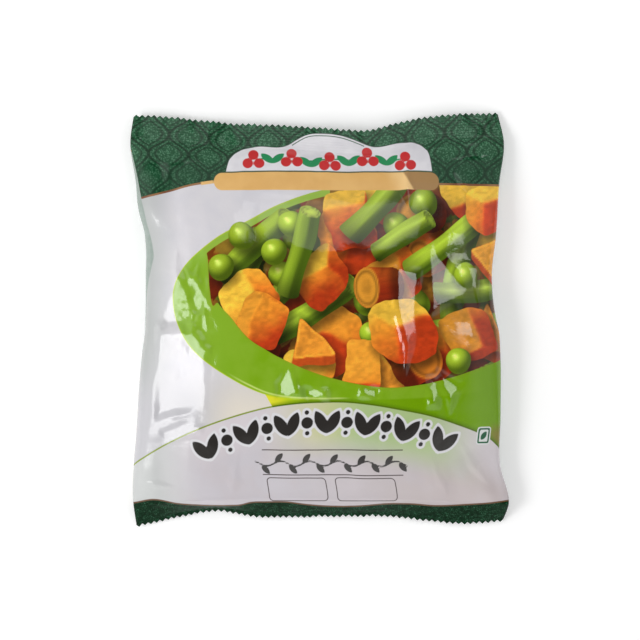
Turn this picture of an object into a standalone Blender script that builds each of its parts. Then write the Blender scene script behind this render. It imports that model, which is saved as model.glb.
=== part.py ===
"""Bag of frozen mixed vegetables: a filled pillow pouch of printed film, lying on its back.

The pouch is one solid. Its front and back sheets start as one flat grid each, are moved to the
shape of the filled pack, and are bridged round their rims. +X is the right of the printed front,
+Y is the top of the pack and +Z is up, with the floor at Z = 0.
"""

import bmesh
import bpy
import numpy as np

# Driving dimensions, in metres
FILL_HEIGHT = 0.034  # floor to the crown of the front
FOLD_HEIGHT = 0.0145  # floor to the side folds at mid-length
SEAL_STRIP = 0.013  # height of a flattened end seal
SEAL_THICKNESS = 0.0006
TOP_SEAL_REACH = 0.0124  # the top seal's height as seen from above
TOP_SEAL_CORNER, TOP_SEAL_MIDDLE = 0.0075, 0.0105  # height of the top seal line over the floor
BOTTOM_TIP_HEIGHT = 0.0016  # height of the bottom seal's cut edge over the floor
TEETH = 62
TOOTH_DEPTH = 0.0013
CRIMP_RIBS, CRIMP_DEPTH = 4, 0.00022
BODY_ROWS = 28
PLEAT_DEPTH, PLEAT_FADE = 0.0011, 0.016
PUCKER_DEPTH, PUCKER_FADE = 0.0010, 0.10
LUMP_SPACING, LUMP_HEIGHT, LUMP_SEED = 0.017, 0.0013, 7  # of the frozen pieces inside

# How far the side folds stand from the middle of the pack, in millimetres, against the place
# along the pack, from -1 at the bottom seal's cut edge to 1 at the top seal's.
LEFT_FOLD = (
    (-1.00, 96.6), (-0.88, 97.8), (-0.50, 95.7), (-0.16, 93.0), (0.05, 91.4),
    (0.33, 91.2), (0.52, 95.4), (0.66, 96.9), (0.85, 99.8), (1.00, 97.8),
)
RIGHT_FOLD = (
    (-1.00, 96.4), (-0.88, 99.6), (-0.70, 95.0), (-0.45, 95.2), (-0.12, 94.2),
    (0.00, 92.2), (0.22, 90.6), (0.40, 92.8), (0.66, 94.8), (0.85, 97.4), (1.00, 94.4),
)
# Y of the cut edges in millimetres, against the place across the pack, from -1 at the left fold
# to 1 at the right one.
TOP_CUT = (
    (-1.00, 107.0), (-0.80, 106.0), (-0.46, 102.6), (-0.11, 101.2), (0.12, 99.4), (0.25, 98.8),
    (0.33, 100.0), (0.45, 103.2), (0.62, 106.2), (0.80, 107.6), (1.00, 108.2),
)
BOTTOM_CUT = (
    (-1.00, -108.8), (-0.90, -106.6), (-0.74, -103.0), (-0.56, -100.6), (-0.37, -103.2),
    (0.00, -103.6), (0.36, -103.4), (0.62, -106.0), (0.72, -107.0), (1.00, -106.0),
)
# Y where the bottom seal begins, in millimetres, against the same place across the pack.
BOTTOM_SEAL = (
    (-1.00, -98.0), (-0.75, -96.0), (-0.50, -95.0), (0.00, -95.2), (0.50, -95.6), (1.00, -97.4),
)
# Long creases in the front: x and y of both ends, half width and height, in millimetres.
CREASES = (
    (43.7, 22.0, 35.5, -63.0, 5.0, 0.9),
    (44.0, 84.0, 50.5, 30.0, 6.0, 1.2),
    (-74.0, 24.0, -84.0, -18.0, 4.5, 0.9),
    (-84.0, -16.0, -80.5, -64.0, 4.5, 0.8),
    (56.0, 90.0, 93.0, 87.0, 3.5, 0.9),
    (-90.0, 92.0, -62.0, 88.0, 3.5, 0.8),
    (-70.0, -84.0, -48.0, -90.0, 4.0, 0.8),
)


def through(stations, at):
    """Smooth curve through the (place, value) stations, read at the places `at`."""
    place, value = np.array(stations).T
    slope = np.gradient(value, place)
    after = np.clip(np.searchsorted(place, at), 1, len(place) - 1)
    before = after - 1
    step = place[after] - place[before]
    t = (at - place[before]) / step
    return (
        (1 + 2 * t) * (1 - t) ** 2 * value[before]
        + t * (1 - t) ** 2 * step * slope[before]
        + t**2 * (3 - 2 * t) * value[after]
        + t**2 * (t - 1) * step * slope[after]
    )


def between(low, high, share):
    return low + (high - low) * share


def seal_lines(across):
    """Y and Z of the four lines that run across the pack: each seal's cut edge and where it begins."""
    top_cut = through(TOP_CUT, across) / 1000
    bottom_cut = through(BOTTOM_CUT, across) / 1000
    sway = 0.0009 * np.sin(5.2 * across + 0.7) + 0.0006 * np.sin(11.0 * across - 0.4)
    top_start_z = between(TOP_SEAL_MIDDLE, TOP_SEAL_CORNER, across**2) + sway
    top_cut_z = top_start_z - np.sqrt(SEAL_STRIP**2 - TOP_SEAL_REACH**2)
    bottom_start = through(BOTTOM_SEAL, across) / 1000
    reach = np.minimum(bottom_start - bottom_cut, 0.98 * SEAL_STRIP)
    bottom_cut_z = BOTTOM_TIP_HEIGHT + 0.5 * np.abs(sway)
    bottom_start_z = bottom_cut_z + np.sqrt(SEAL_STRIP**2 - reach**2)
    return {
        "top_cut": (top_cut, top_cut_z),
        "top_start": (top_cut - TOP_SEAL_REACH, top_start_z),
        "bottom_start": (bottom_start, bottom_start_z),
        "bottom_cut": (bottom_cut, bottom_cut_z),
    }


def crease_relief(x, y):
    """Sharp-crested ridges along the listed creases, fading out at both ends."""
    relief = np.zeros_like(x)
    for start_x, start_y, end_x, end_y, half_width, height in np.array(CREASES):
        start, run = np.array((start_x, start_y)), np.array((end_x - start_x, end_y - start_y))
        length = np.hypot(*run)
        run = run / length
        along = ((x * 1000 - start[0]) * run[0] + (y * 1000 - start[1]) * run[1]) / length
        aside = (x * 1000 - start[0]) * run[1] - (y * 1000 - start[1]) * run[0]
        fade = np.sin(np.pi * np.clip(along, 0, 1)) ** 0.7
        relief += height / 1000 * fade * np.exp(-np.abs(aside) / half_width)
    return relief


def pleat_relief(across, body):
    """Gathers that run lengthwise out of both seals and die away into the body."""
    depth = (1 - np.abs(body)) / PLEAT_FADE * 0.1
    swell = depth * np.exp(1 - depth)
    wave = np.sin(17 * across + 2.5 * np.sign(body)) + 0.6 * np.sin(31 * across + 1.0)
    return PLEAT_DEPTH * swell * wave * (1 - across**4)


def pucker_relief(across, body):
    """Short puckers that run inwards from both side folds."""
    depth = (1 - np.abs(across)) / PUCKER_FADE
    swell = depth * np.exp(1 - depth)
    wave = np.sin(19 * body + 2.0 * np.sign(across)) + 0.7 * np.sin(37 * body + 0.5)
    return PUCKER_DEPTH * swell * wave * (1 - body**6)


def lump_relief(x, y):
    """Low swellings where the frozen pieces press on the film, one near each point of a lattice."""
    random = np.random.default_rng(LUMP_SEED)
    relief = np.zeros_like(x)
    places = np.arange(-6, 7) * LUMP_SPACING
    for place_x in places:
        for place_y in places:
            shift_x, shift_y = random.uniform(-0.4, 0.4, 2) * LUMP_SPACING
            radius = LUMP_SPACING * random.uniform(0.4, 0.65)
            height = LUMP_HEIGHT * random.uniform(0.1, 1.0)
            away = np.hypot(x - place_x - shift_x, y - place_y - shift_y)
            relief += height * np.exp(-((away / radius) ** 2))
    return relief


def pack_surface(across, along, is_front):
    """Points of one sheet of the filled pack.

    `across` runs from -1 at the left fold to 1 at the right one. `along` runs from -2 at the
    bottom cut edge over -1 and 1, where the seals begin, to 2 at the top cut edge.
    """
    body = np.clip(along, -1, 1)
    seal = np.clip(np.abs(along) - 1, 0, 1)
    lines = seal_lines(across)
    start_y, start_z = (between(*pair, (body + 1) / 2) for pair in zip(
        lines["bottom_start"], lines["top_start"]))
    cut_y, cut_z = (np.where(along > 0, *pair) for pair in zip(
        lines["top_cut"], lines["bottom_cut"]))
    y = between(start_y, cut_y, seal)
    place = y / 0.1095
    x = between(-through(LEFT_FOLD, place), through(RIGHT_FOLD, place), (across + 1) / 2) / 1000

    middle_z = between(FOLD_HEIGHT, start_z, body**2)
    middle_z = between(middle_z, cut_z, seal)
    middle_z = middle_z + CRIMP_DEPTH * (np.cos(2 * np.pi * CRIMP_RIBS * seal) - 1) / 2
    lengthwise = (1 - np.abs(body) ** 3) ** 0.85
    if is_front:
        crosswise = (1 - np.abs(across) ** 2.6) ** 0.6
        relief = (
            crease_relief(x, y) + lump_relief(x, y)
            + pleat_relief(across, body) + pucker_relief(across, body)
        )
        rise = (FILL_HEIGHT - FOLD_HEIGHT) * lengthwise * crosswise
        z = middle_z + rise + relief * np.minimum(1, 6 * lengthwise * crosswise)
        return np.stack((x, y, z + SEAL_THICKNESS / 2), axis=-1)
    crosswise = (1 - np.abs(across) ** 3.5) ** 0.6
    resting = np.clip(1.5 * lengthwise * crosswise, 0, 1)
    z = (middle_z - SEAL_THICKNESS / 2) * (1 - resting) ** 2
    return np.stack((x, y, z), axis=-1)


def row_places():
    """Where the rows of vertices lie along the pack, closer together in the crimped seals."""
    even = np.linspace(-1, 1, BODY_ROWS + 1)
    body = 0.55 * even + 0.45 * np.sin(np.pi / 2 * even)
    seal = np.linspace(1, 2, 2 * CRIMP_RIBS + 1)[1:]
    return np.concatenate((-seal[::-1], body, seal))


def add_sheet(pouch, is_front):
    """One grid of the pouch, with a tooth tip in the middle of each outermost edge."""
    rows = row_places()
    sheet = list(bmesh.ops.create_grid(
        pouch, x_segments=TEETH, y_segments=len(rows) - 1, size=1.0
    )["verts"])
    cut_edges = [
        edge for edge in {edge for corner in sheet for edge in corner.link_edges}
        if all(abs(corner.co.y) > 0.999 for corner in edge.verts)
    ]
    tips = [bmesh.utils.edge_split(edge, edge.verts[0], 0.5)[1] for edge in cut_edges]
    flat = np.array([corner.co for corner in sheet + tips])
    along = np.interp(flat[:, 1], np.linspace(-1, 1, len(rows)), rows)
    for corner, point in zip(sheet + tips, pack_surface(flat[:, 0], along, is_front)):
        corner.co = point
    for tip in tips:
        tip.co.y += TOOTH_DEPTH * np.sign(tip.co.y)


def film_material():
    """White glossy film, the ground that the pack's print lies on."""
    film = bpy.data.materials.new("printed_film")
    film.use_nodes = True
    shader = film.node_tree.nodes["Principled BSDF"]
    shader.inputs["Base Color"].default_value = (0.68, 0.69, 0.70, 1.0)
    shader.inputs["Roughness"].default_value = 0.28
    shader.inputs["Metallic"].default_value = 0.0
    return film


def make_bag(collection):
    """The pouch: both sheets bridged round the rim, then centred over the origin."""
    pouch = bmesh.new()
    add_sheet(pouch, is_front=True)
    add_sheet(pouch, is_front=False)
    rim = [edge for edge in pouch.edges if len(edge.link_faces) == 1]
    bmesh.ops.bridge_loops(pouch, edges=rim)
    bmesh.ops.recalc_face_normals(pouch, faces=pouch.faces)
    points = np.array([corner.co for corner in pouch.verts])
    middle = (points.min(axis=0) + points.max(axis=0)) / 2
    bmesh.ops.translate(pouch, verts=pouch.verts, vec=(-middle[0], -middle[1], 0))
    mesh = bpy.data.meshes.new("bag")
    pouch.to_mesh(mesh)
    pouch.free()
    mesh.shade_smooth()
    mesh.materials.append(film_material())
    bag = bpy.data.objects.new("bag", mesh)
    collection.objects.link(bag)
    return bag


def main():
    for thing in list(bpy.data.objects):
        bpy.data.objects.remove(thing)
    pack = bpy.data.collections.new("frozen_vegetable_bag")
    bpy.context.scene.collection.children.link(pack)
    make_bag(pack)


main()
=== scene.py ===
"""A filled pillow bag of frozen mixed vegetables, lying on its back with its printed front up.

The film is one closed sheet round the bag. Its shape is worked out on a net of film coordinates,
in millimetres: u runs round the bag from the middle of the front, and v runs along it from the
middle, up to the top seal. The print is drawn in the same coordinates.
"""

import math

import bpy
import numpy as np
from bpy.props import FloatProperty, FloatVectorProperty, IntProperty, PointerProperty
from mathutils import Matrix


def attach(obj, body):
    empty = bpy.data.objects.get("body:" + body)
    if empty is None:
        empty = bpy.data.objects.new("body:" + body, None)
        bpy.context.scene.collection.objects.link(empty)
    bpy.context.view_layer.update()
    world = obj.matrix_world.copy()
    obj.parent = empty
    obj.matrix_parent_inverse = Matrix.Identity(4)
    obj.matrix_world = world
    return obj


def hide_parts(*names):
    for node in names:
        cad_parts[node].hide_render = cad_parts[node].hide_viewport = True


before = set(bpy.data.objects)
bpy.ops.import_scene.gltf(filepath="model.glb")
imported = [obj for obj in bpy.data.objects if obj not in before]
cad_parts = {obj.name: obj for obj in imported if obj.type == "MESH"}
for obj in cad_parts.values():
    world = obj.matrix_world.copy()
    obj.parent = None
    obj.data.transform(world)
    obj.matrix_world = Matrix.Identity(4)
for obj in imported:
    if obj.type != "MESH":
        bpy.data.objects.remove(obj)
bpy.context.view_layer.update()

bl_info = {
    "name": "Frozen vegetable bag",
    "version": (1, 0, 0),
    "blender": (4, 5, 0),
    "location": "View3D > Sidebar > Vegetable bag",
    "description": "Makes the printed film, the back seam and the studio of a frozen vegetable bag",
    "category": "Add Mesh",
}

MM = 0.001
OUTSIDE = -8.0  # signed distance that stands for "nowhere near"
SHEET_GAP = 0.17  # air between the front sheet and the back one, on each side of the middle
ROUND_FOLD = 1.6  # how far the film runs round the left fold for 1 mm seen from above
HEADER_BACK, FOOT_BACK = 92.0, -95.0  # v where the green bands end on the back
LATTICE_WIDE, LATTICE_HIGH = 21.0, 24.0
HALF_WIDTH = 99.0  # of the flat film, fold to fold
BODY_HALF = 98.0  # of the filled length, seal line to seal line
SEAL_STRIP = 13.0  # height of a flattened end seal
BACK_HALF = 2 * HALF_WIDTH  # u of the middle of the back

# How far the side folds stand from the middle of the bag, in millimetres, against the place
# along it, from -1 at the bottom seal's cut edge to 1 at the top seal's.
FOLD_REACH = 109.5
LEFT_FOLD = (
    (-1, 96.6), (-0.88, 97.8), (-0.5, 95.7), (-0.16, 92.8), (-0.06, 91.4), (0.05, 91), (0.22, 90.9),
    (0.32, 90.8), (0.42, 91.8), (0.52, 94.8), (0.66, 96.4), (0.85, 99.4), (1, 97.8),
)
RIGHT_FOLD = (
    (-1, 96.4), (-0.88, 99.6), (-0.7, 95), (-0.45, 95.2), (-0.14, 94.9), (-0.06, 94.3), (0, 92.8),
    (0.22, 90.6), (0.4, 92.8), (0.66, 94.8), (0.85, 97.4), (1, 94.4),
)
# Y of the cut edges and of the bottom seal's start in millimetres, against the place across the
# bag, from -1 at the left fold to 1 at the right one.
TOP_CUT = (
    (-1, 107), (-0.8, 106), (-0.46, 102.6), (-0.11, 101.2), (0.12, 99.4), (0.25, 98.8), (0.33, 100),
    (0.45, 103.2), (0.62, 106.2), (0.8, 107.6), (1, 108.2),
)
BOTTOM_CUT = (
    (-1, -108.8), (-0.9, -106.6), (-0.74, -103), (-0.56, -100.6), (-0.37, -103.2), (0, -103.6),
    (0.36, -103.4), (0.62, -106), (0.72, -107), (1, -106),
)
BOTTOM_SEAL = (
    (-1, -98), (-0.75, -96), (-0.5, -95), (0, -95.2), (0.5, -95.6), (1, -97.4),
)
FILL_HEIGHT, FOLD_HEIGHT = 34.0, 14.5
TOP_SEAL_REACH, TOP_SEAL_CORNER, TOP_SEAL_MIDDLE, BOTTOM_TIP_HEIGHT = 12.4, 7.5, 10.5, 1.6
BAG_MIDDLE = (0.08, 0.0)  # of the outline above, which is centred over the origin

# The print's layout. Places across are film coordinates, places along are heights over the
# middle of the bag as it lies, all in millimetres.
HEADER_BORDER = (
    (-110, 61), (-94, 63.6), (-87.1, 65), (-77.7, 67.4), (-67.1, 70.1), (-59.1, 71.5), (0, 72),
    (65.7, 70.6), (81.4, 70.4), (98.3, 70.3), (110, 70),
)
FOOT_BORDER = (
    (-110, -97.4), (-98.2, -96.3), (-88.2, -94.5), (-75.5, -96.7), (-61.5, -97.8), (-48.5, -98),
    (-42, -97.6), (-38, -96.5), (-28, -96), (-17, -96.1), (-8.5, -97.3), (4, -98.3), (20, -98.2),
    (36.5, -96.9), (49, -97.1), (58.5, -98), (79, -97.3), (94, -95.8), (98.3, -95.1), (110, -94.6),
)
ARCH_BORDER = (
    (-110, -83), (-96.4, -75), (-79.5, -65.2), (-66.1, -58.7), (-53, -53.4), (-40.2, -49.2),
    (-27.4, -45.8), (-14.7, -43.7), (1.2, -42.6), (13.5, -42.6), (26.4, -43.9), (42.2, -46.6),
    (58.2, -49.9), (72, -54.2), (85.1, -59), (92, -62.2), (98.1, -66.8), (110, -75),
)
BAR_MIDDLE, BAR_HALF = (4.5, 71.9), (59.6, 4.75)
BAR_SAG = ((-60, 0.2), (0, 0.0), (43, 0.1), (54, 0.1), (66, -0.2))
PLAQUE_TOP = (
    (-49.6, 74), (-48.4, 79), (-47.2, 83), (-45.1, 86), (-41.3, 88.6), (-33.2, 90.8), (-15.5, 92),
    (-11.4, 94.5), (-6.6, 97), (3.2, 98), (14.6, 96.4), (21.7, 93.8), (27.7, 91.3), (45.9, 93.1),
    (52.5, 92.8), (56.6, 90), (58.6, 87), (59.9, 81), (61, 74),
)
PLAQUE_ENDS, DOME_SPAN = (-49.2, 60.6), (-14.0, 25.0)
BOWL_PLACE, BOWL_WIDE, BOWL_UP, BOWL_DOWN = (34.7, 11.0), 114.2, 60.5, 52.3
# How far the rim runs under those half ovals, against u: its far edge, and then its near one
RIM_SAG = (
    ((-110, 0.0), (-75, 0.0), (-62, 1.6), (-54, 2.2), (-41, 3.6), (-32, 3.4), (-27, 2.7), (-4, 0.9),
     (20, 0.0), (110, 0.0)),
    ((-110, 0.0), (-70, 0.3), (-48.5, 2.0), (-38, 3.5), (-27.5, 4.4), (-19, 3.9), (-10, 3.0),
     (0, 2.0), (12, 0.8), (35, 0.0), (110, 0.0)),
)
BOWL_BODY_PLACE, BOWL_BODY_SIZE = (74.3, -2.0), (112.0, 90.0)
FOOD_OPEN_ABOVE = 12.0  # over this height the heap isn't cut by the food's edge
FOOD_EDGE = (
    (-110, 60), (-64, 42), (-59.4, 24), (-58.6, 15), (-54.2, 8.4), (-47.1, 0.6), (-41.7, -6.4),
    (-27.5, -16.4), (-15.6, -22.4), (0.1, -28.6), (15.7, -32.6), (38.5, -35.2), (52, -33.8),
    (67.8, -30.2), (84.4, -25), (95.5, -21.8), (110, -17),
)
RULES_MIDDLE, RULES_HALF = (8.4, -74.35), (36.8, 6.65)
BOXES = ((-11.4, -88.95, 15.3, 6.25), (24.6, -88.9, 15.6, 6.3))
BOX_CORNER, BAR_CORNER, MARK_CORNER = 2.0, 4.6, 0.8
FIELD_ASIDE, FIELD_HEIGHT, FIELD_HALF, FIELD_CORNER = 52.0, -6.0, (34.0, 58.0), 4.0
MARK_PLACE, MARK_HALF = (88.0, -60.7), (3.4, 4.1)
TITLE_ARC = (
    (-60, -67.9), (-39.8, -60.1), (-19.3, -55.1), (3.8, -53), (27, -54.3), (48.3, -57.8), (62, -61.4),
    (72, -65.2),
)
# How much of the back panel is seen at the left fold, against the height on the bag
BACK_SHOWS = (
    (-110, -3), (-12, -2), (-6, 0), (2, 0.4), (12.7, 0.9), (20.6, 1.9), (28, 3.6), (32.5, 4.5),
    (38.2, 4.1), (48.4, 3), (58.4, 3.6), (63.3, 2.6), (68.8, 1.8), (84.2, 1), (92, 0.3), (110, 0),
)


def srgb(red, green, blue):
    """Linear colour of a display colour that is given from 0 to 255."""
    return tuple(linear(np.array((red, green, blue)) / 255)) + (1.0,)


def linear(colour):
    """Linear value of display values from 0 to 1, by the display's own curve."""
    colour = np.clip(colour, 0, 1)
    return np.where(colour <= 0.04045, colour / 12.92, ((colour + 0.055) / 1.055) ** 2.4)


def between(low, high, share):
    """Straight mix of two values by a share from 0 to 1."""
    return low + (high - low) * share


def smooth(low, high, value):
    """Rises from 0 at low to 1 at high along the curve 3t^2 - 2t^3."""
    t = np.clip((value - low) / (high - low), 0, 1)
    return t * t * (3 - 2 * t)


def through(stations, at):
    """Smooth curve through (place, value) stations: a cubic in each gap, with matching slopes."""
    place, value = np.array(stations, dtype=float).T
    slope = np.gradient(value, place)
    after = np.clip(np.searchsorted(place, at), 1, len(place) - 1)
    before = after - 1
    step = place[after] - place[before]
    t = (at - place[before]) / step
    return (
        (1 + 2 * t) * (1 - t) ** 2 * value[before]
        + t * (1 - t) ** 2 * step * slope[before]
        + t**2 * (3 - 2 * t) * value[after]
        + t**2 * (t - 1) * step * slope[after]
    )


def held(stations, at):
    """The same curve, level past both ends."""
    return through(stations, np.clip(at, stations[0][0], stations[-1][0]))


def swell(x, y, seed):
    """Smooth noise from -1 to 1: random heights at whole places, eased into each other."""
    table = np.random.default_rng(seed).uniform(-1, 1, (64, 64))
    column, row = np.floor(x).astype(int), np.floor(y).astype(int)
    across, along = x - column, y - row
    across, along = across**2 * (3 - 2 * across), along**2 * (3 - 2 * along)
    low = between(table[row % 64, column % 64], table[row % 64, (column + 1) % 64], across)
    high = between(
        table[(row + 1) % 64, column % 64], table[(row + 1) % 64, (column + 1) % 64], across)
    return between(low, high, along)


def facets(x, y, seed):
    """Flat-sided noise from -1 to 1: random heights on a triangle lattice, joined by planes."""
    table = np.random.default_rng(seed).uniform(-1, 1, (64, 64))
    lean_x, lean_y = x - 0.577 * y, 1.155 * y
    column, row = np.floor(lean_x).astype(int), np.floor(lean_y).astype(int)
    across, along = lean_x - column, lean_y - row
    near = table[row % 64, column % 64]
    right = table[row % 64, (column + 1) % 64]
    up = table[(row + 1) % 64, column % 64]
    far = table[(row + 1) % 64, (column + 1) % 64]
    return np.where(
        across + along < 1,
        near + across * (right - near) + along * (up - near),
        far + (1 - across) * (up - far) + (1 - along) * (right - far),
    )


def pack_surface(across, along, is_front):
    """Smooth surface of one sheet of the filled bag, in millimetres.

    `across` runs from -1 at the left fold to 1 at the right one, `along` from -2 at the bottom cut
    edge over -1 and 1, where the seals begin, to 2 at the top one. The front rises over the
    middle surface as (1 - |along|^3)^0.85 times (1 - |across|^2.6)^0.6, and the back sinks under
    it to the flat that the bag rests on.
    """
    body = np.clip(along, -1, 1)
    seal = np.clip(np.abs(along) - 1, 0, 1)
    sway = 0.9 * np.sin(5.2 * across + 0.7) + 0.6 * np.sin(11.0 * across - 0.4)
    top_cut, bottom_cut = through(TOP_CUT, across), through(BOTTOM_CUT, across)
    bottom_start = through(BOTTOM_SEAL, across)
    top_start_z = between(TOP_SEAL_MIDDLE, TOP_SEAL_CORNER, across**2) + sway
    top_cut_z = top_start_z - math.sqrt(SEAL_STRIP**2 - TOP_SEAL_REACH**2)
    reach = np.minimum(bottom_start - bottom_cut, 0.98 * SEAL_STRIP)
    bottom_cut_z = BOTTOM_TIP_HEIGHT + 0.5 * np.abs(sway)
    bottom_start_z = bottom_cut_z + np.sqrt(SEAL_STRIP**2 - reach**2)

    share = (body + 1) / 2
    y = between(bottom_start, top_cut - TOP_SEAL_REACH, share)
    y = between(y, np.where(along > 0, top_cut, bottom_cut), seal)
    place = y / FOLD_REACH
    x = between(-through(LEFT_FOLD, place), through(RIGHT_FOLD, place), (across + 1) / 2)
    middle = between(FOLD_HEIGHT, between(bottom_start_z, top_start_z, share), body**2)
    middle = between(middle, np.where(along > 0, top_cut_z, bottom_cut_z), seal)
    lengthwise = (1 - np.abs(body) ** 3) ** 0.85
    if is_front:
        crosswise = (1 - np.abs(across) ** 2.6) ** 0.6
        z = middle + (FILL_HEIGHT - FOLD_HEIGHT) * lengthwise * crosswise
    else:
        crosswise = (1 - np.abs(across) ** 3.5) ** 0.6
        z = middle * (1 - np.clip(1.5 * lengthwise * crosswise, 0, 1)) ** 2
    return np.stack((x + BAG_MIDDLE[0], y + BAG_MIDDLE[1], z), axis=-1)


def travelled(net, axis, half):
    """Distance along each line of a net, made to run evenly from -half to half."""
    steps = np.linalg.norm(np.diff(net, axis=axis), axis=-1)
    start = np.zeros_like(np.take(steps, [0], axis=axis))
    distance = np.concatenate((start, np.cumsum(steps, axis=axis)), axis=axis)
    return (distance / np.take(distance, [-1], axis=axis) * 2 - 1) * half


def film_sheet(columns, rows, is_front):
    """Points of one sheet at film coordinates: u in `columns`, v in `rows`.

    The film doesn't stretch, so equal steps of u are equal distances across the surface, and
    equal steps of v are equal distances along it. Both come from measuring a fine net.
    """
    across = np.linspace(-1, 1, 321)
    seal = np.linspace(1, 2, 14)[1:]
    along = np.concatenate((-seal[::-1], np.linspace(-1, 1, 301), seal))
    net = pack_surface(*np.meshgrid(across, along), is_front)
    distance = travelled(net, 1, HALF_WIDTH)
    across = np.stack([np.interp(columns, line, across) for line in distance])
    spread = np.repeat(along[:, None], len(columns), axis=1)
    filled = np.abs(along) <= 1
    distance = travelled(pack_surface(across, spread, is_front)[filled], 0, BODY_HALF)
    past_seal = np.sign(rows) * (1 + (np.abs(rows) - BODY_HALF) / SEAL_STRIP)
    spread = np.stack(
        [np.where(np.abs(rows) > BODY_HALF, past_seal, np.interp(rows, line, along[filled]))
         for line in distance.T], axis=1)
    across = np.stack(
        [np.interp(places, along, line) for places, line in zip(spread.T, across.T)], axis=1)
    return pack_surface(across, spread, is_front)


def outward(net):
    """Unit normals of a net of points whose rows run across and whose lines run along."""
    normal = np.cross(np.gradient(net, axis=1), np.gradient(net, axis=0))
    return normal / np.linalg.norm(normal, axis=-1, keepdims=True)


# Creases of the front: u and v of both ends, half width in millimetres, slope of the sides, and
# the place of the widest point as a share of the length.
CREASES = (
    (44, 9, 35, -52, 1.3, 0.24, 0.3), (36, -46, 33, -78, 1.5, 0.2, 0.4),
    (46.3, 90, 47.5, 58, 4.6, 0.26, 0.6), (-76, 34, -58, 8, 2.4, 0.26, 0.4),
    (-82, 7, -60, 2, 1.8, 0.26, 0.4), (-64, 18, -60, -12, 1.5, 0.24, 0.5),
    (-84, -51, -60, -47, 1.6, 0.16, 0.4), (-96, 100.5, -86, 97, 1.7, 0.5, 0.4),
    (-90, 84, -40, 90, 2.6, 0.22, 0.4), (58, 86, 98, 90, 3, 0.3, 0.7),
    (60, 94, 98, 96.5, 1.6, 0.4, 0.7), (84, 62, 70, 84, 3, 0.26, 0.5),
    (-95, -84, -70, -90, 2.4, 0.3, 0.4), (72, -60, 92, -88, 4, 0.2, 0.6),
    (-40, -62, -46, -94, 4, 0.14, 0.7), (60, -66, 66, -95, 3.6, 0.16, 0.7),
    (20, 34, 30, 2, 5, 0.07, 0.5), (-38, 40, -20, 8, 5, 0.07, 0.5),
)

# Flat spots, where the tight film lies in a plane: how much the plane falls to the right and to
# the top, and then its corners (u, v), clockwise.
FLATS = (
    ((-0.33, -0.08), (-86.8, -3), (-73, -1), (-60.5, -15), (-61.5, -43), (-83.5, -48)),
    ((-0.33, -0.05), (-84, -53), (-70, -55), (-60.5, -52), (-61.5, -58), (-79, -63)),
    ((-0.32, -0.12), (-77, 23), (-71, 10), (-73, -1), (-82, -1), (-80.5, 12)),
    ((-0.34, -0.14), (-70, 19), (-66, 24), (-62.5, 8), (-66, 5)),
    ((0.32, 0.09), (42.6, 27.5), (53.4, 26), (51, 8), (44.6, -13.5), (41.4, 8)),
    ((0.3, 0.09), (61, 37), (79.5, 16), (60, 5)),
    ((0.285, 0.085), (80.5, 29), (87.5, 28), (86.4, 14)),
    ((0.29, 0.09), (71.5, 46), (76.5, 42), (84, 30), (79.5, 31)),
    ((0.34, 0.15), (21.5, -31.5), (29.5, -33), (28.8, -36.8), (21.3, -35.4)),
    ((0.3, 0.15), (57.6, -30), (60.8, -30.5), (59.8, -42), (58.3, -42)),
    ((0.3, 0.15), (64, -28.5), (71.5, -33), (68, -41), (65.6, -36)),
    ((-0.38, -0.06), (-6.4, -34), (2.4, -34.4), (2.8, -36.4), (-6.4, -36.2)),
    ((-0.37, -0.06), (-16, -23.5), (-13.6, -30), (-10.8, -35.6), (-20, -36), (-20.6, -31)),
)


def flatten(net, u, v):
    """Presses the flat spots into a net of points; gives how far each point lies in one, 0 to 1."""
    flat = np.zeros_like(u)
    wobble = 0.5 * swell(u / 3.1, v / 3.1, 51)
    for (fall_x, fall_y), *corners in FLATS:
        inside = np.full_like(u, 99.0)
        for (from_u, from_v), (to_u, to_v) in zip(corners, corners[1:] + corners[:1]):
            side = (u - from_u) * (to_v - from_v) - (v - from_v) * (to_u - from_u)
            inside = np.minimum(inside, side / math.hypot(to_u - from_u, to_v - from_v))
        share = smooth(-0.7, 0.5, inside + wobble)
        middle = (net * share[..., None]).sum(axis=(0, 1)) / share.sum()
        plane = middle[2] - fall_x * (net[..., 0] - middle[0]) - fall_y * (net[..., 1] - middle[1])
        rise = np.abs(share * (plane - net[..., 2])).max()
        share = smooth(-0.6 - 2.2 * rise, 0.5, inside + wobble)
        net[..., 2] += share * np.clip(plane - net[..., 2], -rise, rise)
        flat = np.maximum(flat, share)
    return flat


def crease_relief(u, v):
    """Tent-shaped ridges: flat sides of even slope, whose width dwindles towards both ends."""
    relief = np.zeros_like(u)
    bend = 1.1 * swell(v / 13, u / 13, 21) + 0.4 * swell(v / 4.2, u / 4.2, 22)
    for start_u, start_v, end_u, end_v, half_width, slope, widest in CREASES:
        length = math.hypot(end_u - start_u, end_v - start_v)
        run_u, run_v = (end_u - start_u) / length, (end_v - start_v) / length
        place = ((u - start_u) * run_u + (v - start_v) * run_v) / length
        aside = np.abs((u - start_u) * run_v - (v - start_v) * run_u + bend)
        width = half_width * np.clip(np.minimum(place / widest, (1 - place) / (1 - widest)), 0, 1)
        relief += slope * np.clip(width - aside, 0, None)
    return relief


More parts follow.
